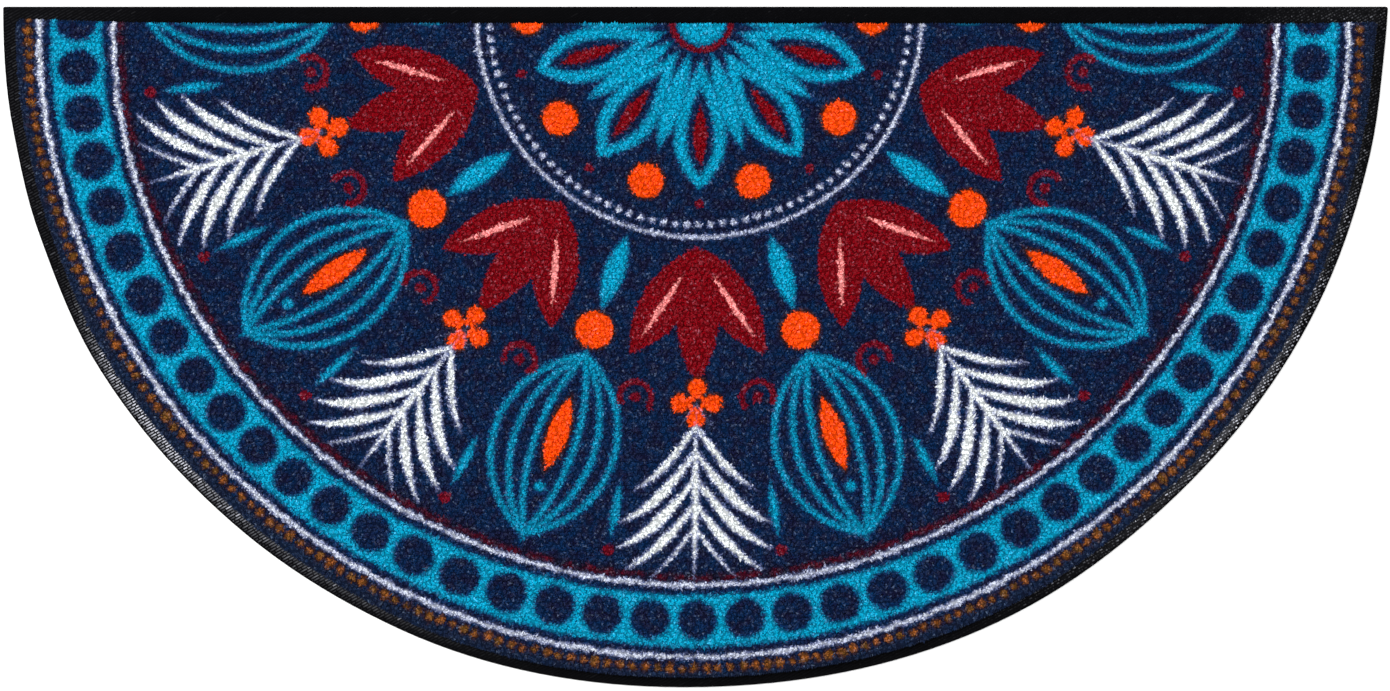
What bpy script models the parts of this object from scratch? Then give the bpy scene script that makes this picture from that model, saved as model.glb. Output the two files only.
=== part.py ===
"""Half-round entrance mat, lying flat: a cut-pile carpet face bonded on a rubber backing that shows as a rim.

Lengths are in millimetres until a mesh is made. X runs along the straight edge, the round edge faces -Y and the
mat lies on Z = 0, with the origin at the middle of its box.
"""

import math
from collections import namedtuple

import bmesh
import bpy

MM = 0.001

# The mat's plan
MAT_WIDTH = 850.0
ARC_RADIUS = 427.6
ARC_CENTRE_OUTSIDE = 6.6  # how far the arc's centre lies beyond the straight edge
BACKING_CORNER_RADIUS = 1.2
ARC_STEP_DEG = 1.5
CORNER_STEPS = 4
CREASE_ANGLE_DEG = 40

# Heights and rims
BACKING_THICKNESS = 1.6
PILE_GAP = 0.3  # between the backing's top and the underside of the carpet
MAT_HEIGHT = 7.0
ARC_RIM = 6.2  # rubber showing along the round edge
STRAIGHT_RIM = 8.9  # rubber showing at the middle of the straight edge
STRAIGHT_RIM_AT_CORNERS = 6.4
STRAIGHT_RIM_POWER = 4
PILE_CORNER_RADIUS = 4.5
PILE_STRAIGHT_STEPS = 24

# How the hand-guided cut wanders off the true arc. The bearing turns from the left corner, through the middle
# of the round edge at 90 degrees, to the right corner, and the cut stands proud of the arc where it is positive.
CutPoint = namedtuple("CutPoint", "bearing_deg proud_mm")
CUT_WANDER = (
    CutPoint(0, -4.6),
    CutPoint(11, -2.8),
    CutPoint(20, -1.0),
    CutPoint(32, 2.2),
    CutPoint(50, 1.6),
    CutPoint(65, 0.6),
    CutPoint(92, -3.2),
    CutPoint(120, 0.5),
    CutPoint(132, -0.4),
    CutPoint(153, 1.1),
    CutPoint(167, 0.0),
    CutPoint(174, -1.2),
    CutPoint(180, -0.2),
)

# Each piece's edge from its underside to its top: how far a ring lies inside the outline, and how high.
EdgeRing = namedtuple("EdgeRing", "inset_mm height_mm")
BACKING_EDGE = (
    EdgeRing(0.4, 0.0),
    EdgeRing(0.0, 0.4),
    EdgeRing(0.0, 1.0),
    EdgeRing(0.2, 1.4),
    EdgeRing(0.7, BACKING_THICKNESS),
)
PILE_BOTTOM = BACKING_THICKNESS + PILE_GAP
PILE_EDGE = (
    EdgeRing(0.9, PILE_BOTTOM),
    EdgeRing(0.2, PILE_BOTTOM + 0.7),
    EdgeRing(0.0, 3.6),
    EdgeRing(0.3, 4.9),
    EdgeRing(1.0, 6.0),
    EdgeRing(2.2, 6.7),
    EdgeRing(4.0, MAT_HEIGHT),
)

RUBBER_COLOUR = (0.008, 0.008, 0.009, 1.0)
RUBBER_ROUGHNESS = 0.5
PILE_COLOUR = (0.012, 0.018, 0.055, 1.0)
PILE_ROUGHNESS = 0.9


def clear_scene():
    for old in list(bpy.data.objects):
        bpy.data.objects.remove(old, do_unlink=True)


def finish_of(name, colour, roughness):
    """A plain material of one colour."""
    material = bpy.data.materials.new(name)
    material.use_nodes = True
    shader = material.node_tree.nodes["Principled BSDF"]
    shader.inputs["Base Color"].default_value = colour
    shader.inputs["Roughness"].default_value = roughness
    shader.inputs["Metallic"].default_value = 0.0
    return material


def wander(bearing_deg):
    """How far the cut stands proud of the true arc, eased from one row of the table to the next."""
    for before, after in zip(CUT_WANDER, CUT_WANDER[1:]):
        if bearing_deg <= after.bearing_deg:
            part = (bearing_deg - before.bearing_deg) / (after.bearing_deg - before.bearing_deg)
            ease = part * part * (3 - 2 * part)
            return before.proud_mm + (after.proud_mm - before.proud_mm) * ease
    return CUT_WANDER[-1].proud_mm


def corner(side, rim, top, radius):
    """A rounded corner between the round edge and the straight one, as (points, bearing where the arc takes over).

    side is -1 at the left and 1 at the right, and the points run from the straight edge to the arc.
    """
    arc = ARC_RADIUS + wander(0 if side < 0 else 180) - rim
    drop = ARC_CENTRE_OUTSIDE + top + radius
    across = math.sqrt((arc - radius) ** 2 - drop**2)
    bearing = math.degrees(math.atan2(drop, across))
    points = []
    for step in range(CORNER_STEPS + 1):
        turn = math.radians(90 - (90 + bearing) * step / CORNER_STEPS)
        points.append((side * (across + radius * math.cos(turn)), radius * math.sin(turn) - drop))
    return points, bearing


def outline(corner_radius, straight_steps, arc_rim=0.0, straight_rim=0.0, corner_rim=0.0):
    """The plan of one piece, anticlockwise from above, measured from the arc's centre.

    The rims are how far it lies inside the mat's edge: on the arc, and on the straight edge's middle and ends.
    """
    left, left_bearing = corner(-1, arc_rim, corner_rim, corner_radius)
    right, right_bearing = corner(1, arc_rim, corner_rim, corner_radius)
    first, last = left_bearing, 180 - right_bearing
    steps = round((last - first) / ARC_STEP_DEG)
    arc = []
    for step in range(1, steps):
        bearing = first + (last - first) * step / steps
        reach = ARC_RADIUS + wander(bearing) - arc_rim
        turn = math.radians(bearing)
        arc.append((-reach * math.cos(turn), -reach * math.sin(turn)))
    straight = []
    end_x, start_x = left[0][0], right[0][0]
    for step in range(1, straight_steps):
        x = start_x + (end_x - start_x) * step / straight_steps
        bow = (straight_rim - corner_rim) * (1 - abs(x / start_x) ** STRAIGHT_RIM_POWER)
        straight.append((x, -ARC_CENTRE_OUTSIDE - corner_rim - bow))
    return left + arc + right[::-1] + straight


def moved_in(points, distance):
    """The plan drawn in by a distance, each point along the bisector of its two sides."""
    drawn = []
    for index, (x, y) in enumerate(points):
        before, after = points[index - 1], points[(index + 1) % len(points)]
        into = (x - before[0], y - before[1])
        out = (after[0] - x, after[1] - y)
        into_length, out_length = math.hypot(*into), math.hypot(*out)
        normal_x = -into[1] / into_length - out[1] / out_length
        normal_y = into[0] / into_length + out[0] / out_length
        stretch = 2 * distance / (normal_x**2 + normal_y**2)
        drawn.append((x + normal_x * stretch, y + normal_y * stretch))
    return drawn


def sheet(name, plan, edge, material):
    """A closed slab: one ring of points for each row of its edge, capped flat below and above."""
    shape = bmesh.new()
    rings = []
    for row in edge:
        ring = [
            shape.verts.new((x * MM, y * MM, row.height_mm * MM))
            for x, y in moved_in(plan, row.inset_mm)
        ]
        rings.append(ring)
    shape.faces.new(rings[0][::-1])
    shape.faces.new(rings[-1])
    for lower, upper in zip(rings, rings[1:]):
        for index in range(len(plan)):
            after = (index + 1) % len(plan)
            shape.faces.new((lower[index], lower[after], upper[after], upper[index]))
    mesh = bpy.data.meshes.new(name)
    shape.to_mesh(mesh)
    shape.free()
    mesh.shade_smooth()
    mesh.set_sharp_from_angle(angle=math.radians(CREASE_ANGLE_DEG))
    mesh.materials.append(material)
    piece = bpy.data.objects.new(name, mesh)
    bpy.context.scene.collection.objects.link(piece)
    return piece


def placed(plan, mat_plan):
    """The plan brought to the mat's width, with the middle of the whole mat's box at the origin."""
    (low_x, high_x), (low_y, high_y) = [(min(values), max(values)) for values in zip(*mat_plan)]
    to_width = MAT_WIDTH / (high_x - low_x)
    middle_x, middle_y = (low_x + high_x) / 2, (low_y + high_y) / 2
    return [((x - middle_x) * to_width, (y - middle_y) * to_width) for x, y in plan]


def build():
    backing_plan = outline(BACKING_CORNER_RADIUS, straight_steps=1)
    pile_plan = outline(
        PILE_CORNER_RADIUS,
        PILE_STRAIGHT_STEPS,
        arc_rim=ARC_RIM,
        straight_rim=STRAIGHT_RIM,
        corner_rim=STRAIGHT_RIM_AT_CORNERS,
    )
    rubber = finish_of("black_rubber", RUBBER_COLOUR, RUBBER_ROUGHNESS)
    nylon = finish_of("printed_pile", PILE_COLOUR, PILE_ROUGHNESS)
    sheet("rubber_backing", placed(backing_plan, backing_plan), BACKING_EDGE, rubber)
    sheet("carpet_pile", placed(pile_plan, backing_plan), PILE_EDGE, nylon)


clear_scene()
build()
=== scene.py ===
import math
from collections import namedtuple

import bpy
import bmesh
import numpy as np
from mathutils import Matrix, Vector, geometry


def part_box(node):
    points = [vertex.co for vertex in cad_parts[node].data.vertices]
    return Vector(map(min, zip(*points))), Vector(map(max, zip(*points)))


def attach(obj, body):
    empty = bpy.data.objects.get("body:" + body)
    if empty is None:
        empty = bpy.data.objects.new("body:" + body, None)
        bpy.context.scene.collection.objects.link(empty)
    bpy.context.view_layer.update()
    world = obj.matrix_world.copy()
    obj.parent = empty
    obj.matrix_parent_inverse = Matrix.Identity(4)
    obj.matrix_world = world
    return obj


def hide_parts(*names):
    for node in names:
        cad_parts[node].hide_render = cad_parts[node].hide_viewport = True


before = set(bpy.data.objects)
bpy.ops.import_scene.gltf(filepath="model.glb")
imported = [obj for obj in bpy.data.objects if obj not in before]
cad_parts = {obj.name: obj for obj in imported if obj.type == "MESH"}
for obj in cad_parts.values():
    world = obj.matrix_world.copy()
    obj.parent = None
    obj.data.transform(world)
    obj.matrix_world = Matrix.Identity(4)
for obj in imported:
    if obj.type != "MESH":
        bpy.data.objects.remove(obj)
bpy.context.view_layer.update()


# The rubber backing
# One sheet of black nitrile rubber, moulded with a fine rib all over and cut to the half round with a
# bevelled edge. The CAD solid is its true shape, so it stays, and takes the rubber's finish here.

MM = 0.001
RUBBER_TOP = 1.6 * MM
RIB_TURN = math.radians(29)

# finishes work in millimetres, and the frame in metres
RIB_PITCH = 1.7
RUBBER_BLOTCH = 14.0
RUBBER_GRAIN = 0.5
RUBBER_RELIEF = 0.12
RIB_SHARE, GRAIN_SHARE = 0.6, 0.4
# how much painted sheen lightens the rib crests and the flecks of fine grain
RIB_SHEEN, GRAIN_SHEEN = 0.1, 0.03
RUBBER_ROUGH, GRAIN_ROUGH = 0.42, 0.25
RUBBER_SPECULAR = 0.01

# the middle of the round edge's arc, from the mat's middle; bearings go round it, from 0 down to 90 right
ARC_MIDDLE = (-0.9, 209.6)

# where a highlight is painted on the rubber: its bearing and spread in degrees, how much, and how fast it
# fades to the cut edge
PaintedHighlight = namedtuple("PaintedHighlight", "bearing spread most fade")
PAINTED_HIGHLIGHTS = (
    PaintedHighlight(-52.5, 7.3, 1.10, 2.1),
    PaintedHighlight(-38.0, 13.0, 0.19, 2.5),
    PaintedHighlight(-78.0, 14.0, 0.025, 0.5),
    PaintedHighlight(56.0, 7.0, 0.55, 1.5),
    PaintedHighlight(58.0, 17.0, 0.32, 0.8),
    PaintedHighlight(89.5, 3.0, 0.02, 0.3),
)
# the painted highlight: how far out from the arc's middle it starts and is full, where it ends near the cut
# edge and how fast, and its share on the flat sheet between the ribs
HIGHLIGHT_FROM, HIGHLIGHT_FULL = 330.0, 390.0
HIGHLIGHT_END = 421.0
HIGHLIGHT_END_FADE = 2.5
HIGHLIGHT_BETWEEN_RIBS = 0.09


def ink(red, green, blue):
    """A colour read as 0 to 255 on a screen, as the shader's own linear colour."""
    screen = np.array((red, green, blue)) / 255
    linear = np.where(screen <= 0.04045, screen / 12.92, ((screen + 0.055) / 1.055) ** 2.4)
    return (*(float(part) for part in linear), 1.0)


RUBBER_BLACK = ink(4, 4, 5)
# the grey of the painted sheen on the rib crests and grain
RUBBER_SHEEN_GREY = ink(34, 34, 40)
# the near-white colour of the painted highlight on the rubber
RUBBER_HIGHLIGHT = ink(226, 228, 240)


class Field:
    """A number or colour that varies over a surface. Sums on a number add Math nodes to its finish.

    A plain factor and a plain sum wait in times and plus until a node reads the number, so they take
    one node.
    """

    def __init__(self, finish, source, times=1.0, plus=0.0):
        self.finish = finish
        self.source = source
        self.times = times
        self.plus = plus

    @property
    def socket(self):
        if (self.times, self.plus) != (1.0, 0.0):
            self.source, self.times, self.plus = self.settled().source, 1.0, 0.0
        return self.source

    def settled(self, clamp=False):
        sockets = {0: Field(self.finish, self.source), 1: self.times, 2: self.plus}
        return self.finish.node("ShaderNodeMath", {"operation": "MULTIPLY_ADD", "use_clamp": clamp}, sockets)

    def math(self, operation, *others):
        return self.finish.node("ShaderNodeMath", {"operation": operation}, dict(enumerate((self, *others))))

    def __add__(self, other):
        if not isinstance(other, Field):
            return Field(self.finish, self.source, self.times, self.plus + other)
        plain, scaled = (self, other) if other.times != 1.0 else (other, self)
        first = Field(self.finish, scaled.source)
        rest = Field(self.finish, plain.source, plain.times)
        if scaled.times == 1.0:
            whole = first.math("ADD", rest)
        else:
            whole = first.math("MULTIPLY_ADD", scaled.times, rest)
        return whole + (self.plus + other.plus)

    __radd__ = __add__

    def __sub__(self, other):
        return self + other * -1

    def __rsub__(self, other):
        return self * -1 + other

    def __mul__(self, other):
        if not isinstance(other, Field):
            return Field(self.finish, self.source, self.times * other, self.plus * other)
        if self.plus or other.plus:
            return self.math("MULTIPLY", other)
        product = Field(self.finish, self.source).math("MULTIPLY", Field(self.finish, other.source))
        return product * (self.times * other.times)

    __rmul__ = __mul__

    def __truediv__(self, other):
        return self.math("DIVIDE", other) if isinstance(other, Field) else self * (1 / other)

    def __abs__(self):
        return self.math("ABSOLUTE")

    def clamped(self):
        return self.settled(clamp=True)

    def least(self, other):
        return self.math("MINIMUM", other)

    def most(self, other):
        return self.math("MAXIMUM", other)

    def parts(self):
        """The three numbers of a vector."""
        split = self.finish.node("ShaderNodeSeparateXYZ", {}, {0: self}).source.node
        return [Field(self.finish, out) for out in split.outputs]


class Finish:
    """One material: its nodes, and the shader that they end in."""

    def __init__(self, name):
        self.material = bpy.data.materials.new(name)
        self.material.use_nodes = True
        self.tree = self.material.node_tree
        self.shader = self.tree.nodes["Principled BSDF"]

    def node(self, kind, settings, sockets, out=0):
        """Adds a node, sets it up, fills its sockets with numbers or links, and gives one of its outputs."""
        made = self.tree.nodes.new(kind)
        for name, value in settings.items():
            setattr(made, name, value)
        self.fill(made, sockets)
        return Field(self, made.outputs[out])

    def fill(self, made, sockets):
        for name, value in sockets.items():
            if isinstance(value, Field):
                self.tree.links.new(value.socket, made.inputs[name])
            else:
                made.inputs[name].default_value = value

    def surface(self, **sockets):
        self.fill(self.shader, {name.replace("_", " "): value for name, value in sockets.items()})

    def place(self):
        """Where a point lies on the piece, in millimetres."""
        metres = self.node("ShaderNodeTexCoord", {}, {}, "Object")
        return self.scaled(metres, 1 / MM)

    def scaled(self, vector, scale):
        """A vector, or a colour, made longer or lighter."""
        return self.node("ShaderNodeVectorMath", {"operation": "SCALE"}, {0: vector, "Scale": scale})

    def noise(self, place, size, detail=2.0, rough=0.5, out="Fac"):
        """Soft cloudy noise whose blotches are about size millimetres wide."""
        sockets = {"Vector": place, "Scale": 1 / size, "Detail": detail, "Roughness": rough}
        return self.node("ShaderNodeTexNoise", {"noise_dimensions": "2D"}, sockets, out)

    def blend(self, under, over, mask):
        """One colour laid over another where the mask is 1."""
        # a Mix node has its colours in sockets 6 and 7, and gives their mix from output 2
        return self.node("ShaderNodeMix", {"data_type": "RGBA"}, {0: mask, 6: under, 7: over}, 2)

    def relief(self, height, distance):
        """The normal of a surface with this height, which reaches distance millimetres."""
        sockets = {"Height": height, "Distance": distance * MM, "Strength": 1.0}
        return self.node("ShaderNodeBump", {}, sockets)

    def kept(self, name, out):
        """What a mesh keeps on its points under this name."""
        return self.node("ShaderNodeAttribute", {"attribute_name": name}, {}, out)


def sheet_highlight(place):
    """Painted highlight on the flat sheet: a little, where the ribs have their painted highlight."""
    x, y, _ = place.parts()
    x = x - ARC_MIDDLE[0]
    y = y - ARC_MIDDLE[1]
    bearing = x.math("ARCTAN2", y * -1) * (180 / math.pi)
    radius = (x * x + y * y).math("SQRT")
    from_ends = (radius - HIGHLIGHT_FROM) / (HIGHLIGHT_FULL - HIGHLIGHT_FROM)
    shown = ((HIGHLIGHT_END - radius) / HIGHLIGHT_END_FADE).least(from_ends).clamped()
    painted_highlight = 0.0
    for highlight in PAINTED_HIGHLIGHTS:
        off = (bearing - highlight.bearing) / highlight.spread
        painted_highlight = (off * off * -1).math("EXPONENT") * highlight.most + painted_highlight
    return painted_highlight * shown * HIGHLIGHT_BETWEEN_RIBS


def rubber_finish(name, highlight_kept):
    """Black ribbed rubber, with painted sheen and, in places, a painted highlight, which the ribs' mesh keeps
    per rib.
    """
    finish = Finish(name)
    place = finish.place()
    x, y, _ = place.parts()
    across = x * math.sin(RIB_TURN) - y * math.cos(RIB_TURN)
    rib = (across * (2 * math.pi / RIB_PITCH)).math("SINE") * 0.5 + 0.5
    blotch = finish.noise(place, RUBBER_BLOTCH, detail=3.0)
    grain = finish.noise(place, RUBBER_GRAIN, rough=0.7)
    painted_highlight = finish.kept("painted_highlight", "Fac") if highlight_kept else sheet_highlight(place)
    # painted sheen: the rib crests, and flecks of the fine grain, lightened towards grey
    colour = finish.blend(RUBBER_BLACK, RUBBER_SHEEN_GREY, rib * blotch * RIB_SHEEN + grain * GRAIN_SHEEN)
    # painted highlight: the rubber lightened towards near-white where its ribs would catch the light
    colour = finish.blend(colour, RUBBER_HIGHLIGHT, painted_highlight)
    finish.surface(
        Base_Color=colour,
        Roughness=RUBBER_ROUGH + grain * GRAIN_ROUGH,
        Specular_IOR_Level=RUBBER_SPECULAR,
        Normal=finish.relief(rib * RIB_SHARE + grain * GRAIN_SHARE, RUBBER_RELIEF),
    )
    return finish.material


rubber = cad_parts["rubber_backing"]
rubber.data.materials.clear()
rubber.data.materials.append(rubber_finish("black_ribbed_rubber", highlight_kept=False))


# The ribs of the rim
# The rubber is pressed against a coarse cloth, which leaves rows of fine short ribs where it shows between
# the carpet and the cut edge. They run one way over the sheet, with a painted highlight at lower left and
# right.

RIB_HEIGHT = 0.16 * MM
RIB_WIDTH = 1.15 * MM
RIB_GAP = 0.5 * MM
RIB_SLOPE = 0.3 * MM
RIB_SUNK = 0.02 * MM
RIB_SHORTEST = 0.8 * MM
RIB_FACES = np.array([(5, 1, 0), (4, 5, 0), (5, 4, 3), (2, 5, 3), (3, 4, 0), (5, 2, 1), (2, 3, 0), (1, 2, 0)])
RIB_CORNERS = 6
LONG_RIBS = (3.0, 6.0)
BROKEN_RIBS = (1.1, 2.8)
LINE_HEAD = 3.0
RIM_BEVEL = 0.8 * MM
UNDER_PILE = 1.0 * MM
HALF_MAT = 0.52
# the painted highlight on the ribs: how far in from the cut edge it grows, its share at the edge, below the
# crest and on every crest
HIGHLIGHT_WIDTH = 5.8 * MM
HIGHLIGHT_AT_EDGE = 0.05
HIGHLIGHT_BELOW_CREST = 0.15
HIGHLIGHT_EVERYWHERE = 0.001
# how patchy the painted highlight is: each rib's share, rare bright ribs, and bright specks on the right
RIB_TONES = (0.5, 1.25)
BRIGHTEST_RIB = 4
BRIGHT_RARITY = 30
BRIGHTEST_SPECK = 3.4
SPECK_RARITY = 2

# heights in the straight part of each solid's wall
BACKING_LEVEL = 1.0 * MM
PILE_LEVEL = 3.6 * MM
LEVEL_SLACK = 0.05 * MM

# how far the pile stands back from its solid's edge: by bearing on the round edge, by place on the straight
STANDS_BACK = (
    (-90, 1.9),
    (-80, 1.4),
    (-60, 1.1),
    (-38, 1.0),
    (-24, 0.1),
    (30, 0.0),
    (44, 0.5),
    (62, 0.5),
    (73, 1.1),
    (82, 0.5),
)
STANDS_BACK_STRAIGHT = (
    (-390, 1.4),
    (-350, 2.2),
    (-300, 2.2),
    (-180, 1.6),
    (120, 1.7),
    (250, 2.1),
    (310, 2.9),
    (350, 3.3),
)

draw = np.random.default_rng(20)


def outline_of(node, height):
    """A CAD node's outline at a height, as points in order round it, anticlockwise, in metres."""
    points = np.array([tuple(vertex.co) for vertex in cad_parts[node].data.vertices])
    level = points[abs(points[:, 2] - height) < LEVEL_SLACK][:, :2]
    level = np.unique(level.round(6), axis=0)
    return level[np.argsort(np.arctan2(level[:, 1], level[:, 0]))]


def drawn_in(outline, distance):
    """The outline moved inwards by a distance, and the way that is out at each of its points."""
    ahead = np.roll(outline, -1, axis=0) - np.roll(outline, 1, axis=0)
    out = np.stack([ahead[:, 1], -ahead[:, 0]], axis=1)
    out /= np.linalg.norm(out, axis=1, keepdims=True)
    return outline - out * distance, out


def worn_in(outline):
    """The outline moved inwards where the pile stands back."""
    _, out = drawn_in(outline, 0.0)
    from_middle = outline - np.array(ARC_MIDDLE) * MM
    reach = np.linalg.norm(from_middle, axis=1, keepdims=True)
    bearing = np.degrees(np.arctan2(from_middle[:, 0], -from_middle[:, 1]))
    facing = np.clip(np.sum(out * from_middle / reach, axis=1), 0, 1)
    back = np.interp(bearing, *zip(*STANDS_BACK)) * facing
    back += np.interp(outline[:, 0] / MM, *zip(*STANDS_BACK_STRAIGHT)) * np.clip(out[:, 1], 0, 1)
    return outline - out * back[:, None] * MM


def depth_in(points, outline):
    """How deep each point lies inside the outline, negative outside, and which way is out there."""
    start, end = outline, np.roll(outline, -1, axis=0)
    run = end - start
    length = np.linalg.norm(run, axis=1)
    normal = np.stack([run[:, 1], -run[:, 0]], axis=1) / length[:, None]
    depth = np.full(len(points), np.inf)
    out = np.zeros((len(points), 2))
    for corner, along, size, away in zip(start, run, length, normal):
        offset = points - corner
        share = np.clip(offset @ along / size**2, 0, 1)
        gap = offset - share[:, None] * along
        far = np.linalg.norm(gap, axis=1)
        signed = np.where(gap @ away > 0, -far, far)
        nearer = far < abs(depth)
        depth[nearer] = signed[nearer]
        out[nearer] = away
    return depth, out


def crossings(outline, start, way):
    """How far along a line it enters and leaves an outline, or None where it misses it."""
    side = np.array((-way[1], way[0]))
    off = (outline - start) @ side
    off_after = np.roll(off, -1)
    cut = off * off_after < 0
    if not cut.any():
        return None
    after = np.roll(outline, -1, axis=0)
    share = (off[cut] / (off[cut] - off_after[cut]))[:, None]
    along = (outline[cut] + (after[cut] - outline[cut]) * share - start) @ way
    return float(along.min()), float(along.max())


def mesh_piece(name, points, faces, material, smooth=True):
    """An object of these points and triangles, linked to the scene."""
    mesh = bpy.data.meshes.new(name)
    mesh.vertices.add(len(points))
    mesh.vertices.foreach_set("co", np.asarray(points, np.float32).ravel())
    mesh.loops.add(faces.size)
    mesh.loops.foreach_set("vertex_index", np.asarray(faces, np.int32).ravel())
    mesh.polygons.add(len(faces))
    mesh.polygons.foreach_set("loop_start", np.arange(0, faces.size, 3, dtype=np.int32))
    mesh.update(calc_edges=True)
    if smooth:
        mesh.shade_smooth()
    mesh.materials.append(material)
    piece = bpy.data.objects.new(name, mesh)
    bpy.context.scene.collection.objects.link(piece)
    return piece


backing_outline = outline_of("rubber_backing", BACKING_LEVEL)
pile_outline = worn_in(outline_of("carpet_pile", PILE_LEVEL))


def rib_stretches():
    """Where each line of ribs shows: a start, its way and side, and the first and last distance."""
    way = np.array((math.cos(RIB_TURN), math.sin(RIB_TURN)))
    side = np.array((math.sin(RIB_TURN), -math.cos(RIB_TURN)))
    rim, _ = drawn_in(backing_outline, RIM_BEVEL)
    hiding, _ = drawn_in(pile_outline, UNDER_PILE)
    reach = math.ceil(HALF_MAT / (RIB_PITCH * MM))
    for number in range(-reach, reach + 1):
        start = side * number * RIB_PITCH * MM
        whole = crossings(rim, start, way)
        hidden = crossings(hiding, start, way)
        if whole is None:
            continue
        if hidden is None:
            yield start, way, side, whole[0], whole[1]
        else:
            yield start, way, side, whole[0], hidden[0]
            yield start, way, side, hidden[1], whole[1]


def rib_mesh():
    """Each rib as a low bar with a sharp crest and sloped ends, closed below: its corners and triangles."""
    points, faces = [], []
    for start, way, side, low, high in rib_stretches():
        lengths = LONG_RIBS if (start + way * low)[0] < 0 else BROKEN_RIBS
        end = low - draw.uniform(0, LINE_HEAD) * MM
        while end < high:
            begin = max(low, end + RIB_GAP)
            end = min(high, end + draw.uniform(*lengths) * MM)
            if end - begin < RIB_SHORTEST:
                continue
            faces.append(RIB_FACES + len(points))
            for along, across, height in (
                (begin, -RIB_WIDTH / 2, 0.0),
                (end, -RIB_WIDTH / 2, 0.0),
                (end, RIB_WIDTH / 2, 0.0),
                (begin, RIB_WIDTH / 2, 0.0),
                (begin + RIB_SLOPE, 0.0, RIB_HEIGHT),
                (end - RIB_SLOPE, 0.0, RIB_HEIGHT),
            ):
                spot = start + way * along + side * across
                points.append((spot[0], spot[1], RUBBER_TOP - RIB_SUNK + height))
    return np.array(points), np.concatenate(faces)


def painted_highlight_of(points):
    """How much painted highlight each rib corner gets: more on the crests, less towards the cut edge, and
    patchy.
    """
    x, y = (points[:, :2] - np.array(ARC_MIDDLE) * MM).T
    bearing = np.degrees(np.arctan2(x, -y))
    depth, _ = depth_in(points[:, :2], backing_outline)
    share = np.clip(depth / HIGHLIGHT_WIDTH, 0, 1)
    painted_highlight = np.zeros(len(points))
    for highlight in PAINTED_HIGHLIGHTS:
        near = np.exp(-(((bearing - highlight.bearing) / highlight.spread) ** 2))
        painted_highlight += highlight.most * near * (HIGHLIGHT_AT_EDGE + share**highlight.fade)
    painted_highlight *= np.interp(np.hypot(x, y) / MM, (HIGHLIGHT_FROM, HIGHLIGHT_FULL), (0, 1))
    count = len(points) // RIB_CORNERS
    tone = draw.uniform(*RIB_TONES, count) + draw.uniform(0, 1, count) ** BRIGHT_RARITY * BRIGHTEST_RIB
    speck = draw.uniform(0, 1, len(points)) ** SPECK_RARITY * BRIGHTEST_SPECK
    patchy = np.repeat(tone, RIB_CORNERS) * np.where(x > 0, speck, 1)
    crest = points[:, 2] > RUBBER_TOP
    shown = np.clip(painted_highlight * patchy, 0, 1) * np.where(crest, 1.0, HIGHLIGHT_BELOW_CREST)
    return shown + crest * HIGHLIGHT_EVERYWHERE * patchy


rib_points, rib_faces = rib_mesh()
rib_rubber = rubber_finish("rubber_ribs_painted_highlight", highlight_kept=True)
ribs = mesh_piece("rim_ribs", rib_points, rib_faces, rib_rubber, smooth=False)
# each rib corner keeps its painted highlight
ribs.data.attributes.new("painted_highlight", "FLOAT", "POINT").data.foreach_set("value", painted_highlight_of(rib_points))
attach(ribs, "root")


# The carpet's ground and the print
# The dense lower part of the cut nylon pile: a slab bonded to the rubber, its top as uneven as packed tufts.
# The white pile is printed with jets of acid dye: plain borders round a mandala. The dye bleeds a little.

GROUND_TOP = 5.1 * MM
GROUND_UNEVEN = 0.2 * MM
GROUND_STEP = 2.7 * MM
GROUND_WANDER = 0.22
GROUND_INSET = 0.5 * MM
GROUND_EDGE_DROP = 0.7 * MM
GROUND_CLEAR = 2.2 * MM
PILE_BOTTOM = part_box("carpet_pile")[0].z
PILE_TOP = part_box("carpet_pile")[1].z
GROUND_WALL = ((0.1 * MM, 3.4 * MM), (0.9 * MM, PILE_BOTTOM))
# painted shade: the ground's yarn gets 0.6 of the usual tone and its root's shade, as it lies deep between
# the tufts
GROUND_FIBRE_IN_SHADE = (0.6, 0.0, 0.0)
JOIN_WITHIN = 1e-7
MAP_MARGIN = 0.01

NAVY = ink(4, 34, 72)
NIGHT = ink(17, 20, 51)
MARGIN = ink(21, 32, 54)
BLUE_BLEED = ink(6, 48, 100)
TURQUOISE = ink(0, 153, 188)
LAVENDER = ink(128, 138, 188)
WHITE = ink(226, 230, 230)
LINE_WHITE = ink(210, 215, 224)
BROWN_BLEED = ink(60, 28, 16)
ORANGE = ink(243, 76, 0)
RED = ink(122, 0, 12)
DARK_RED = ink(108, 4, 26)
RED_BLEED = ink(20, 12, 32)
ROW_RED = ink(80, 4, 24)
PINK = ink(246, 150, 148)
BEAD_BLEED = ink(54, 27, 16)
AMBER = ink(152, 86, 34)
OLIVE = ink(116, 78, 30)
SHEEN = ink(190, 215, 245)

# the print's sizes are in its drawing's millimetres, and the drawing is this much larger than the mat
PRINT_SCALE = 1.0015
BLOTCH_SIZE = 7.0
DYE_WOBBLE = 3.0
MOTTLE_CONTRAST, MOTTLE_LEVEL = 3.2, 1.1
PATCH_CONTRAST, PATCH_LEVEL = 3.0, 1.0
LINE_DYE, LINE_PATCHES, LINE_SIDES = 0.5, 0.5, 0.25
ROOT_SHADE = 0.84
TIP_SHADE = 0.3
PILE_ROUGH = 0.95
PILE_SPECULAR = 0.05

# the borders are wider than they are deep, and run off the true arc: lower down, to a side and at their ends
RING_STRETCH = 1.01
OFF_ALL = 1.76
OFF_LOW = 7.26
OFF_LOWEST = 5.84
OFF_SLANT = 1.06
OFF_SIDE = 0.32
OFF_ENDS = 1.1
END_SPAN = 8
BAND_AT = 378.0
BAND_SPREAD = 0.0175
MARGIN_FROM = 409.6

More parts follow.
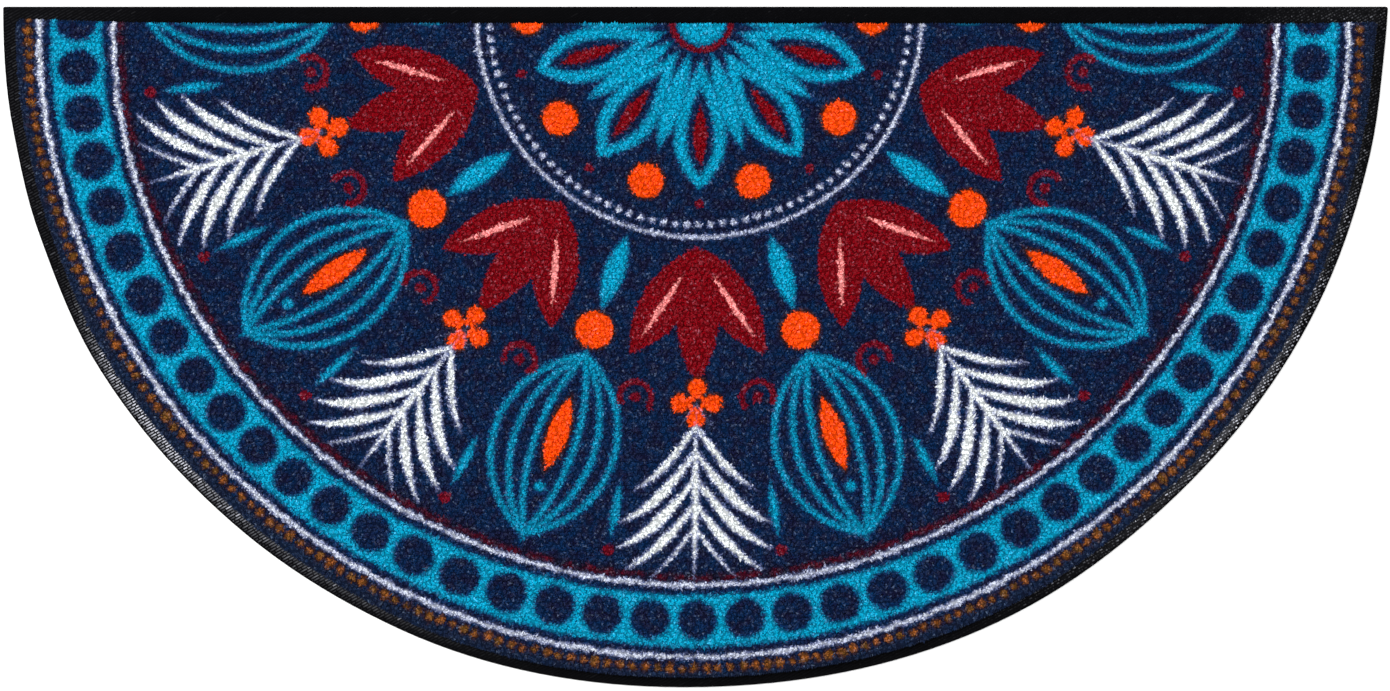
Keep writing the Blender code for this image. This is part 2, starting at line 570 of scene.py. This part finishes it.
# the round spots don't lie quite evenly round the band, in radians
SPOTS_TURN = 0.0042
SPOTS_WAVE, SPOTS_WAVE_START = 0.0041, 0.35
SPOTS_RIPPLE = 0.0033

# the mandala is one wedge, in degrees, mirrored and repeated round a middle that drifts off the arc's
WEDGE = 18.0
FIELD_RADIUS = 356
DRIFT_RIGHT = 4.9
DRIFT_DOWN = 10.0
PETAL_WALL = 7.6
PETAL_CORE = 12.2
ARCH_WIDTHS = (12.5, 25.0, 37.5)
ARCH_LINE = 1.8
CURL_RADIUS = 6.4
CURL_LINE = 1.9
FLOWER_AT = 241.0
FLOWER_REACH = 10.0
FLOWER_PETAL = 5.5
FLOWER_EYE = 3.2
FROND_FROM, FROND_TO = 256.0, 347.0
FROND_HALF_WIDTH = 48.0
BLADE_PITCH = 16.0
BLADE_SLANT = 1.5
BLADE_CURVE = 0.012
BLADE_REACH, BLADE_REACH_OUT = 8.9, 0.13
BLADE_HALF, BLADE_HALF_OUT = 1.1, 0.12
BLADE_TIP = 4.9
FROND_MIDDLE, FROND_HALF = 1.7, 2.65
FROND_RIM = 30


def stepped(outline, step):
    """The outline with points about a step apart."""
    after = np.roll(outline, -1, axis=0)
    made = []
    for start, end in zip(outline, after):
        count = max(1, round(float(np.linalg.norm(end - start)) / step))
        made.extend(start + (end - start) * part / count for part in range(count))
    return np.array(made)


def packed_points(pitch, wander):
    """Points in offset rows over the whole mat, each moved a little at random."""
    low, high = pile_outline.min(0), pile_outline.max(0)
    rows = []
    row_step = pitch * math.sqrt(3) / 2
    for number, y in enumerate(np.arange(low[1], high[1], row_step)):
        x = np.arange(low[0], high[0], pitch) + (number % 2) * pitch / 2
        rows.append(np.stack([x, np.full(len(x), y)], axis=1))
    points = np.concatenate(rows)
    return points + draw.uniform(-wander, wander, points.shape) * pitch


def ground_mesh():
    """The slab: its top made of triangles between packed points, its wall in rings, and a flat underside."""
    edge, _ = drawn_in(stepped(pile_outline, GROUND_STEP), GROUND_INSET)
    inner = packed_points(GROUND_STEP, GROUND_WANDER)
    depth, _ = depth_in(inner, pile_outline)
    inner = inner[depth > GROUND_CLEAR]
    flat = [Vector(point) for point in np.concatenate([edge, inner])]
    loop = [(index, (index + 1) % len(edge)) for index in range(len(edge))]
    spots, _, top, *_ = geometry.delaunay_2d_cdt(flat, loop, [], 1, JOIN_WITHIN)
    spots = np.array([tuple(spot) for spot in spots])
    height = GROUND_TOP + draw.uniform(-1, 1, len(spots)) * GROUND_UNEVEN
    height[: len(edge)] = GROUND_TOP - GROUND_EDGE_DROP
    points = [np.column_stack([spots, height])]
    faces = [np.array(top)]
    upper = np.arange(len(edge))
    for inset, level in GROUND_WALL:
        wall, _ = drawn_in(edge, inset)
        lower = sum(len(part) for part in points) + np.arange(len(edge))
        points.append(np.column_stack([wall, np.full(len(wall), level)]))
        lower_next, upper_next = np.roll(lower, -1), np.roll(upper, -1)
        faces.append(np.column_stack([lower, lower_next, upper_next]))
        faces.append(np.column_stack([lower, upper_next, upper]))
        upper = lower
    middle = sum(len(part) for part in points)
    points.append(np.array([(0.0, 0.0, PILE_BOTTOM)]))
    faces.append(np.column_stack([np.full(len(edge), middle), np.roll(upper, -1), upper]))
    return np.concatenate(points), np.concatenate(faces)


def printed(piece, places, fibres):
    """Keeps on each point where its yarn was printed, and its fibre's tone, height and gleam.

    It also lays the piece's flat map.
    """
    mesh = piece.data
    spot = np.column_stack([places, np.zeros(len(places))]).astype(np.float32)
    mesh.attributes.new("printed_at", "FLOAT_VECTOR", "POINT").data.foreach_set("vector", spot.ravel())
    kind = np.asarray(fibres, np.float32)
    mesh.attributes.new("fibre", "FLOAT_VECTOR", "POINT").data.foreach_set("vector", kind.ravel())
    corner = np.empty(len(mesh.loops), np.int32)
    mesh.loops.foreach_get("vertex_index", corner)
    low, high = places.min(0), places.max(0)
    flat = ((places - low) / (high - low) * (1 - 2 * MAP_MARGIN) + MAP_MARGIN)[corner]
    mesh.uv_layers.new(name="OFBake").data.foreach_set("uv", flat.astype(np.float32).ravel())


def covered(distance, bleed=1.0, out=0.0, strength=1.0):
    """How much dye there is at a signed distance from a shape's edge. The edge may be moved out."""
    return (distance * (-1 / bleed) + (out / bleed + 0.5)).clamped() * strength


def joined(*shapes):
    whole = shapes[0]
    for shape in shapes[1:]:
        whole = whole.least(shape)
    return whole


def ring(radius, at, half_width):
    return abs(radius - at) - half_width


def at_turn(reach, degrees):
    """A point at this distance from the middle, on a line turned from the axis."""
    return np.array((math.sin(math.radians(degrees)), math.cos(math.radians(degrees)))) * reach


def ball(spot, at, size):
    sockets = {0: spot, 1: (*at, 0.0)}
    return spot.finish.node("ShaderNodeVectorMath", {"operation": "DISTANCE"}, sockets, "Value") - size


def leaf(spot, start, end, half_width, sides=(-1, 1)):
    """A pointed leaf between two points, with a circle's arc along each side that shows."""
    run = np.subtract(end, start)
    length = math.hypot(*run)
    across = np.array((run[1], -run[0])) / length
    size = (length**2 / 4 + half_width**2) / (2 * half_width)
    arcs = [ball(spot, np.add(start, end) / 2 - across * side * (size - half_width), 0.0) for side in sides]
    return (arcs[0] if len(arcs) == 1 else arcs[0].most(arcs[1])) - size


def edge_leaf(spot, low, high, half_width):
    """A leaf on the line between two wedges, of which this wedge shows one side."""
    return leaf(spot, at_turn(low, WEDGE), at_turn(high, WEDGE), half_width, sides=(-1,))


def drop(across, along, low, high, half_width, skew=0.0):
    """A leaf from low to high along the axis, widest past its middle where skew is positive."""
    half_length = (high - low) / 2
    part = (along - (low + high) / 2) / half_length
    width = (1 - part * part) * (part * skew + 1) * half_width
    return (across - width).most((abs(part) - 1) * half_length)


def beads(radius, angle, at, count, size, uneven=0.0):
    """A row of round beads on a ring, each a little off its place and size where it is uneven."""
    spacing = 2 * math.pi * at / count
    turn = angle * (count / (2 * math.pi))
    out = radius - at
    if not uneven:
        along = turn.math("PINGPONG", 0.5) * spacing
        return (along * along + out * out).math("SQRT") - size
    turn = turn + 0.5
    number = turn.math("FLOOR")
    chance = turn.finish.node("ShaderNodeTexWhiteNoise", {"noise_dimensions": "1D"}, {"W": number}, "Color")
    off_along, off_out, off_size = [(off - 0.5) * uneven for off in chance.parts()]
    along = (turn - number) * spacing - spacing / 2 + off_along
    out = out + off_out
    return (along * along + out * out).math("SQRT") + off_size - size


def ring_place(x, y, wobble):
    """How far out and round a point lies for the borders, and how far it is to the right, from -1 to 1."""
    wide = x / RING_STRETCH
    true_radius = (wide * wide + y * y).math("SQRT")
    angle = wide.math("ARCTAN2", y * -1)
    side = wide / true_radius
    down = y * -1 / true_radius
    ends = (1 - down * END_SPAN).most(0.0)
    off_arc = down * (OFF_LOW - down * OFF_LOWEST - side * OFF_SLANT) + side * OFF_SIDE - OFF_ALL
    off_arc = off_arc - ends * ends * OFF_ENDS
    spread = side * (true_radius - BAND_AT) * BAND_SPREAD
    return true_radius - off_arc + spread + (wobble - 0.5) * DYE_WOBBLE, angle, side


def spotted_band(radius, angle):
    """A band of dye left out round a row of spots."""
    wave = (angle * 3 + SPOTS_WAVE_START).math("SINE") * SPOTS_WAVE
    ripple = (angle * 8).math("SINE") * SPOTS_RIPPLE
    spots = beads(radius, angle - (wave - ripple) - SPOTS_TURN, at=377.7, count=81, size=12.2)
    return ring(radius, BAND_AT, half_width=15.6).most(-1 * spots)


def middle_motifs(radius, angle, u, v, spot):
    """The hub in its ring, the petals and sepals round it with their balls, and the dotted ring."""
    petal = drop(u, v, low=24.0, high=106.0, half_width=15.5, skew=0.45)
    sepal = edge_leaf(spot, low=22.0, high=84.0, half_width=6.4)
    dots = beads(radius, angle, at=128.6, count=112, size=1.6)
    return {
        "turquoise": [radius - 15.0, petal.most(-PETAL_WALL - petal), sepal],
        "red": [petal + PETAL_CORE],
        "orange": [ball(spot, at_turn(106.0, WEDGE), size=10.6)],
        "dark red": [ring(radius, at=18.2, half_width=1.8), ball(spot, at=(0.0, 115.0), size=2.8)],
        "line": [ring(radius, at=136.4, half_width=0.9), dots],
    }


def frond(u, v):
    """Blades that sweep up and out from the axis, shorter at both ends of their row."""
    step = (v - (BLADE_SLANT - u * BLADE_CURVE) * u - FROND_FROM) / BLADE_PITCH
    off_middle = step - FROND_MIDDLE
    taper = 1 - u * u / FROND_HALF_WIDTH**2 - off_middle * off_middle / FROND_HALF**2
    from_blade = step.math("PINGPONG", 0.5) * (u * BLADE_REACH_OUT + BLADE_REACH)
    half_blade = (taper * BLADE_TIP).least(u * BLADE_HALF_OUT + BLADE_HALF)
    return (from_blade - half_blade).most(taper * -FROND_RIM)


def axis_motifs(u, v, spot):
    """On the axis: a veined tulip of three petals, a flower of four, and a frond."""
    tulip_middle = leaf(spot, start=(0.0, 146.0), end=(0.0, 228.0), half_width=13.0, sides=(1,))
    tulip_side = leaf(spot, start=(-2.7, 141.8), end=(41.4, 209.7), half_width=14.2)
    middle = ball(spot, at=(0.0, FLOWER_AT), size=6.0)
    petals = ((0.0, FLOWER_AT + FLOWER_REACH), (FLOWER_REACH, FLOWER_AT), (0.0, FLOWER_AT - FLOWER_REACH))
    flower = joined(*[ball(spot, at, size=0.0) for at in petals]) - FLOWER_PETAL
    spine = leaf(spot, start=(0.0, FROND_FROM), end=(0.0, FROND_TO), half_width=2.2, sides=(1,))
    return {
        "red": [tulip_middle, tulip_side],
        "pink": [leaf(spot, start=(9.8, 161.1), end=(33.8, 198.0), half_width=1.8)],
        "orange": [flower.least(middle).most(-FLOWER_EYE - middle)],
        "white": [spine, frond(u, v)],
    }


def side_motifs(spot):
    """Between the axes: a bud, a ball and nested arches round an eye, with curls, dots and a small leaf."""
    half = WEDGE / 2
    arches = [abs(edge_leaf(spot, low=222.0, high=340.0, half_width=width)) for width in ARCH_WIDTHS]
    curl_eye = ball(spot, at_turn(240.0, half), size=3.2)
    opening = ball(spot, at_turn(253.0, half), size=10.5)
    curl = (abs(curl_eye - CURL_RADIUS) - CURL_LINE).most(-1 * opening)
    low_dot = ball(spot, at_turn(178.0, half), size=3.0)
    high_dot = ball(spot, at_turn(338.0, half), size=3.4)
    return {
        "turquoise": [
            edge_leaf(spot, low=143.0, high=190.0, half_width=6.4),
            joined(*arches) - ARCH_LINE,
            ball(spot, at_turn(309.0, WEDGE), size=3.2),
            leaf(spot, at_turn(296.0, half), at_turn(328.0, half), half_width=2.6),
        ],
        "orange": [
            edge_leaf(spot, low=250.0, high=298.0, half_width=6.4),
            ball(spot, at_turn(205.0, WEDGE), size=11.6),
        ],
        "dark red": [curl, curl_eye, low_dot, high_dot],
    }


def mandala(x, y, border_radius):
    """The shapes of each dye in the mandala, joined."""
    drift = (1 - border_radius / FIELD_RADIUS).most(0.0)
    x = x - drift * DRIFT_RIGHT
    y = y + drift * DRIFT_DOWN
    radius = (x * x + y * y).math("SQRT")
    angle = x.math("ARCTAN2", y * -1)
    folded = angle.math("PINGPONG", math.radians(WEDGE))
    u = radius * folded.math("SINE")
    v = radius * folded.math("COSINE")
    spot = x.finish.node("ShaderNodeCombineXYZ", {}, {0: u, 1: v})
    shapes = {}
    for group in (middle_motifs(radius, angle, u, v, spot), axis_motifs(u, v, spot), side_motifs(spot)):
        for dye, some in group.items():
            shapes.setdefault(dye, []).extend(some)
    return {dye: joined(*some) for dye, some in shapes.items()}


def print_finish(name):
    """The printed pile: every dye laid over the one before it, then painted shade that darkens each fibre to
    its root.
    """
    finish = Finish(name)
    place = finish.scaled(finish.kept("printed_at", "Vector"), PRINT_SCALE / MM)
    tone, height, gleam = finish.kept("fibre", "Vector").parts()
    mottle, patch, wobble = finish.noise(place, BLOTCH_SIZE, detail=1.0, out="Color").parts()
    x, y, _ = place.parts()
    x = x - ARC_MIDDLE[0]
    y = y - ARC_MIDDLE[1]
    radius, angle, side = ring_place(x, y, wobble)
    shapes = mandala(x, y, radius)

    edge_beads = beads(radius, angle, at=407.0, count=340, size=2.0, uneven=1.1)
    outer_line = ring(radius, at=400.3, half_width=1.35)
    inner_line = ring(radius, at=356.1, half_width=1.2)
    red_line = ring(radius, at=351.4, half_width=1.7)
    turquoise = joined(spotted_band(radius, angle), shapes["turquoise"])
    lines = joined(outer_line, inner_line, shapes["line"])
    lines_or_white = shapes["white"].least(lines)

    patches = (patch * PATCH_CONTRAST - PATCH_LEVEL).clamped()
    bead_dye = finish.blend(AMBER, OLIVE, patches)
    line_strength = (side * side * LINE_SIDES + patch * LINE_PATCHES + LINE_DYE).least(1.0)
    colour = NAVY
    for dye, amount in (
        (NIGHT, (mottle * MOTTLE_CONTRAST - MOTTLE_LEVEL).clamped()),
        (MARGIN, covered(MARGIN_FROM - radius, bleed=2.0, strength=0.7)),
        (BLUE_BLEED, covered(turquoise, bleed=3.6, out=1.1)),
        (TURQUOISE, covered(turquoise, bleed=3.3, out=-0.5)),
        (DARK_RED, covered(shapes["dark red"])),
        (RED_BLEED, covered(red_line, bleed=3.5, out=1.5, strength=0.75)),
        (ROW_RED, covered(red_line, bleed=2.2) * patches),
        (RED, covered(shapes["red"])),
        (BROWN_BLEED, covered(shapes["orange"], bleed=2.2, out=1.6, strength=0.9)),
        (ORANGE, covered(shapes["orange"])),
        (PINK, covered(shapes["pink"])),
        (BEAD_BLEED, covered(edge_beads, bleed=1.8, out=1.3, strength=0.9)),
        (bead_dye, covered(edge_beads, bleed=2.2, out=-0.1, strength=0.95)),
        (LAVENDER, covered(lines_or_white, bleed=1.8, out=0.5, strength=0.75)),
        (LINE_WHITE, covered(lines, bleed=1.6, out=-0.2) * line_strength),
        (WHITE, covered(shapes["white"], bleed=1.6, out=-0.4)),
    ):
        colour = finish.blend(colour, dye, amount)

    # painted shade: each fibre darker towards its root, times its own random tone
    colour = finish.scaled(colour, (height * TIP_SHADE + ROOT_SHADE) * tone)
    colour = finish.blend(colour, SHEEN, gleam)
    finish.surface(Base_Color=colour, Roughness=PILE_ROUGH - gleam, Specular_IOR_Level=PILE_SPECULAR)
    return finish.material


pile_material = print_finish("printed_nylon_pile")
ground_points, ground_faces = ground_mesh()
ground = mesh_piece("carpet_ground", ground_points, ground_faces, pile_material)
# the ground is printed darker, as painted shade
printed(ground, ground_points[:, :2], np.tile(GROUND_FIBRE_IN_SHADE, (len(ground_points), 1)))
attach(ground, "root")
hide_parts("carpet_pile")


# The tufts
# Twisted nylon yarn, cut level. Each tuft is a few thick fibres that spread from one root and lean together,
# and the outermost tufts splay over the carpet's edge. They are joined in pieces, side by side.

TUFT_PIECES = 5
TUFT_PITCH = 2.75 * MM
TUFT_WANDER = 0.28
TUFT_FIBRES = 4
TUFT_CLEAR = 1.0 * MM
TUFT_LEAN = 0.55 * MM
TUFT_UNEVEN = 0.16 * MM
TUFT_TONES = 0.06

# slow waves in the way that the pile lies: how long each is in millimetres, and how far it leans the tips
NAP_WAVES = (34, 52, 75, 110)
NAP_LEAN = 0.3

# the pile's rounded edge: how far in it starts, how far it drops, and how the edge tufts lean out
EDGE_ROUND = 4.2 * MM
EDGE_DROP = 1.9 * MM
EDGE_LEAN = 0.9 * MM
EDGE_LEAN_WIDTH = 1.6 * MM
ROOT_DROP = 0.6

FIBRE_ROOT = 4.8 * MM
FIBRE_RADIUS = 1.4 * MM
FIBRE_SPREAD = 0.8 * MM
FIBRE_SPREADS = (0.6, 1.25)
FIBRE_TURN = 0.25
ROOT_SPREAD = 0.8
TIP_SPREAD = 1.12
TIP_WANDER = 0.6 * MM
TIP_FALL = 0.6 * MM
PRINT_WANDER = 0.4 * MM
PRINT_SPREAD = 0.3
FIBRE_TONES = 0.07
FIBRE_TONE = 0.97
GLEAM_SOFT = 0.022
GLEAM_BRIGHT, GLEAM_RARITY = 0.09, 24
GLEAM_LIGHTENS = 5
FIBRE_SIZES = (0.85, 1.15)
NOT_UPRIGHT = (0.31, 0.87, 0.12)
SPIKE_FACES = np.array([(0, 1, 3), (1, 2, 3), (2, 0, 3), (2, 1, 0)])

# rows of short fibres over the carpet's cut wall, in millimetres
EdgeRow = namedtuple("EdgeRow", "level inset reach")
EDGE_ROWS = (EdgeRow(2.3, 1.0, 0.15), EdgeRow(3.2, 0.8, 0.35), EdgeRow(4.2, 1.0, 0.25))
EDGE_PITCH = 1.05 * MM
EDGE_WANDER = 0.3
EDGE_RISES = (0.9, 1.6)
EDGE_REACH_WANDER = 0.2 * MM
EDGE_FIBRE_RADIUS = 0.55 * MM


def nap_lean(points):
    """The way that the pile lies: slow waves of lean over the mat, in metres at the tip."""
    lean = np.zeros_like(points)
    for length in NAP_WAVES:
        turn, phase, swing = draw.uniform(0, 2 * math.pi, 3)
        way = np.array((math.cos(turn), math.sin(turn)))
        wave = np.sin(points @ way * (2 * math.pi / (length * MM)) + phase)
        lean += wave[:, None] * np.array((math.cos(swing), math.sin(swing))) * NAP_LEAN * MM
    return lean


def characters(count):
    """How light each fibre is, and how much it gleams: most a little, and a few brightly."""
    tone = np.exp(draw.normal(0, FIBRE_TONES, count))
    chance = draw.uniform(0, 1, count)
    gleam = GLEAM_SOFT * chance**2 + GLEAM_BRIGHT * chance**GLEAM_RARITY
    return np.column_stack([tone * (FIBRE_TONE + GLEAM_LIGHTENS * gleam), gleam])


def tuft_fibres():
    """Every fibre's root, tip, printed place and character."""
    tufts = packed_points(TUFT_PITCH, TUFT_WANDER)
    depth, out = depth_in(tufts, pile_outline)
    keep = depth > TUFT_CLEAR
    tufts, depth, out = tufts[keep], depth[keep], out[keep]
    count = len(tufts)
    lean = nap_lean(tufts) + draw.normal(0, TUFT_LEAN, tufts.shape)
    lean += out * np.exp(-depth / EDGE_LEAN_WIDTH)[:, None] * EDGE_LEAN
    level = PILE_TOP - abs(draw.normal(0, TUFT_UNEVEN, count))
    level -= np.clip(1 - depth / EDGE_ROUND, 0, 1) ** 2 * EDGE_DROP
    root_level = FIBRE_ROOT - (PILE_TOP - level) * ROOT_DROP
    tone = np.exp(draw.normal(0, TUFT_TONES, count))
    first_turn = draw.uniform(0, 2 * math.pi, count)
    roots, tips, places, kinds = [], [], [], []
    for number in range(TUFT_FIBRES):
        turn = first_turn + number * 2 * math.pi / TUFT_FIBRES + draw.normal(0, FIBRE_TURN, count)
        spread = FIBRE_SPREAD * draw.uniform(*FIBRE_SPREADS, count)
        off = np.column_stack([np.cos(turn), np.sin(turn)]) * spread[:, None]
        tip = tufts + off * TIP_SPREAD + lean + draw.normal(0, TIP_WANDER, tufts.shape)
        fall = draw.uniform(0, TIP_FALL, count)
        roots.append(np.column_stack([tufts + off * ROOT_SPREAD, root_level]))
        tips.append(np.column_stack([tip, level - fall]))
        places.append(tufts + off + draw.normal(0, PRINT_WANDER, tufts.shape))
        kind = characters(count)
        kind[:, 0] *= tone
        kinds.append(kind)
    return [np.concatenate(part) for part in (roots, tips, places, kinds)]


def edge_fibres():
    """The splayed fibres that clothe the carpet's cut wall, row over row."""
    roots, tips, places, kinds = [], [], [], []
    for row in EDGE_ROWS:
        line = stepped(pile_outline, EDGE_PITCH)
        line = line + draw.uniform(-EDGE_WANDER, EDGE_WANDER, line.shape) * MM
        base, _ = drawn_in(line, row.inset * MM)
        _, out = depth_in(base, pile_outline)
        rise = draw.uniform(*EDGE_RISES, len(line)) * MM
        tip = line + out * (row.reach * MM + draw.normal(0, EDGE_REACH_WANDER, len(line)))[:, None]
        roots.append(np.column_stack([base, np.full(len(line), row.level * MM)]))
        tips.append(np.column_stack([tip, row.level * MM + rise]))
        places.append(base)
        kinds.append(characters(len(line)))
    return [np.concatenate(part) for part in (roots, tips, places, kinds)]


def fibre_piece(name, roots, tips, places, kinds, radius):
    """Fibres as closed three-sided spikes, joined in one mesh."""
    count = len(roots)
    turn = draw.uniform(0, 2 * math.pi, count)
    size = radius * draw.uniform(*FIBRE_SIZES, count)
    along = tips - roots
    along /= np.linalg.norm(along, axis=1, keepdims=True)
    one = np.cross(along, NOT_UPRIGHT)
    one /= np.linalg.norm(one, axis=1, keepdims=True)
    two = np.cross(along, one)
    points = np.empty((count, 4, 3))
    spots = np.empty((count, 4, 2))
    for corner in range(3):
        angle = turn + corner * 2 * math.pi / 3
        off = (one * np.cos(angle)[:, None] + two * np.sin(angle)[:, None]) * size[:, None]
        points[:, corner] = roots + off
        spots[:, corner] = places + off[:, :2] * PRINT_SPREAD
    points[:, 3] = tips
    spots[:, 3] = places
    faces = (SPIKE_FACES[None] + np.arange(count)[:, None, None] * 4).reshape(-1, 3)
    fibres = np.zeros((count, 4, 3))
    fibres[:, :, 0] = kinds[:, :1]
    fibres[:, 3, 1] = 1.0
    fibres[:, :, 2] = kinds[:, 1:]
    piece = mesh_piece(name, points.reshape(-1, 3), faces, pile_material)
    printed(piece, spots.reshape(-1, 2), fibres.reshape(-1, 3))
    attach(piece, "root")
    return piece


roots, tips, places, kinds = tuft_fibres()
order = np.argsort(roots[:, 0], kind="stable")
for number, part in enumerate(np.array_split(order, TUFT_PIECES)):
    fibres = (roots[part], tips[part], places[part], kinds[part])
    fibre_piece(f"carpet_tufts_{number + 1}", *fibres, FIBRE_RADIUS)
fibre_piece("carpet_edge_tufts", *edge_fibres(), EDGE_FIBRE_RADIUS)


# The studio
# A pale matt floor that fills the view, a camera straight above at the photo's framing, and two large soft
# lamps, high at the upper left and weaker at the lower right, in an even white room.

FLOOR_SIZE = 40.0
FLOOR_DROP = 0.2 * MM
FLOOR_CLOUD = 900.0
FLOOR_PALE = ink(236, 236, 236)
FLOOR_PALER = ink(243, 243, 244)
ROOM_LIGHT = 1.05
PHOTO_WIDTH, PHOTO_HEIGHT = 1390, 691
MM_PER_PIXEL = 850 / 1385
MAT_MIDDLE_PIXEL = (695.5, 347.0)
CAMERA_HEIGHT = 3.2


def floor_finish():
    finish = Finish("pale_floor")
    tone = finish.noise(finish.place(), FLOOR_CLOUD, detail=3.0)
    finish.surface(Base_Color=finish.blend(FLOOR_PALE, FLOOR_PALER, tone), Roughness=0.9)
    return finish.material


shape = bmesh.new()
bmesh.ops.create_grid(shape, x_segments=2, y_segments=2, size=FLOOR_SIZE / 2)
bmesh.ops.translate(shape, verts=shape.verts, vec=(0, 0, -FLOOR_DROP))
floor_mesh = bpy.data.meshes.new("floor")
shape.to_mesh(floor_mesh)
shape.free()
floor_mesh.materials.append(floor_finish())
floor = bpy.data.objects.new("floor", floor_mesh)
bpy.context.scene.collection.objects.link(floor)


def softbox(name, place, size, power):
    """A square lamp with a wide soft face, turned to the middle of the mat."""
    lamp = bpy.data.lights.new(name, "AREA")
    lamp.shape = "SQUARE"
    lamp.size = size
    lamp.energy = power
    made = bpy.data.objects.new(name, lamp)
    made.location = place
    made.rotation_mode = "QUATERNION"
    made.rotation_quaternion = (-Vector(place)).to_track_quat("-Z", "Y")
    made.visible_camera = False
    bpy.context.scene.collection.objects.link(made)


softbox("key_light", place=(-1.6, 1.4, 2.6), size=1.6, power=76)
softbox("fill_light", place=(1.8, -1.2, 2.4), size=2.0, power=32)

studio = bpy.data.worlds.new("studio")
studio.use_nodes = True
studio.node_tree.nodes["Background"].inputs["Color"].default_value = (1.0, 1.0, 1.0, 1.0)
studio.node_tree.nodes["Background"].inputs["Strength"].default_value = ROOM_LIGHT
bpy.context.scene.world = studio
bpy.context.scene.view_settings.view_transform = "Standard"

lens = bpy.data.cameras.new("camera")
camera = bpy.data.objects.new("camera", lens)
middle_x = (PHOTO_WIDTH / 2 - MAT_MIDDLE_PIXEL[0]) * MM_PER_PIXEL * MM
middle_y = (MAT_MIDDLE_PIXEL[1] - PHOTO_HEIGHT / 2) * MM_PER_PIXEL * MM
camera.location = (middle_x, middle_y, CAMERA_HEIGHT)
lens.lens = lens.sensor_width * (CAMERA_HEIGHT - RUBBER_TOP) / (PHOTO_WIDTH * MM_PER_PIXEL * MM)
bpy.context.scene.collection.objects.link(camera)
bpy.context.scene.camera = camera
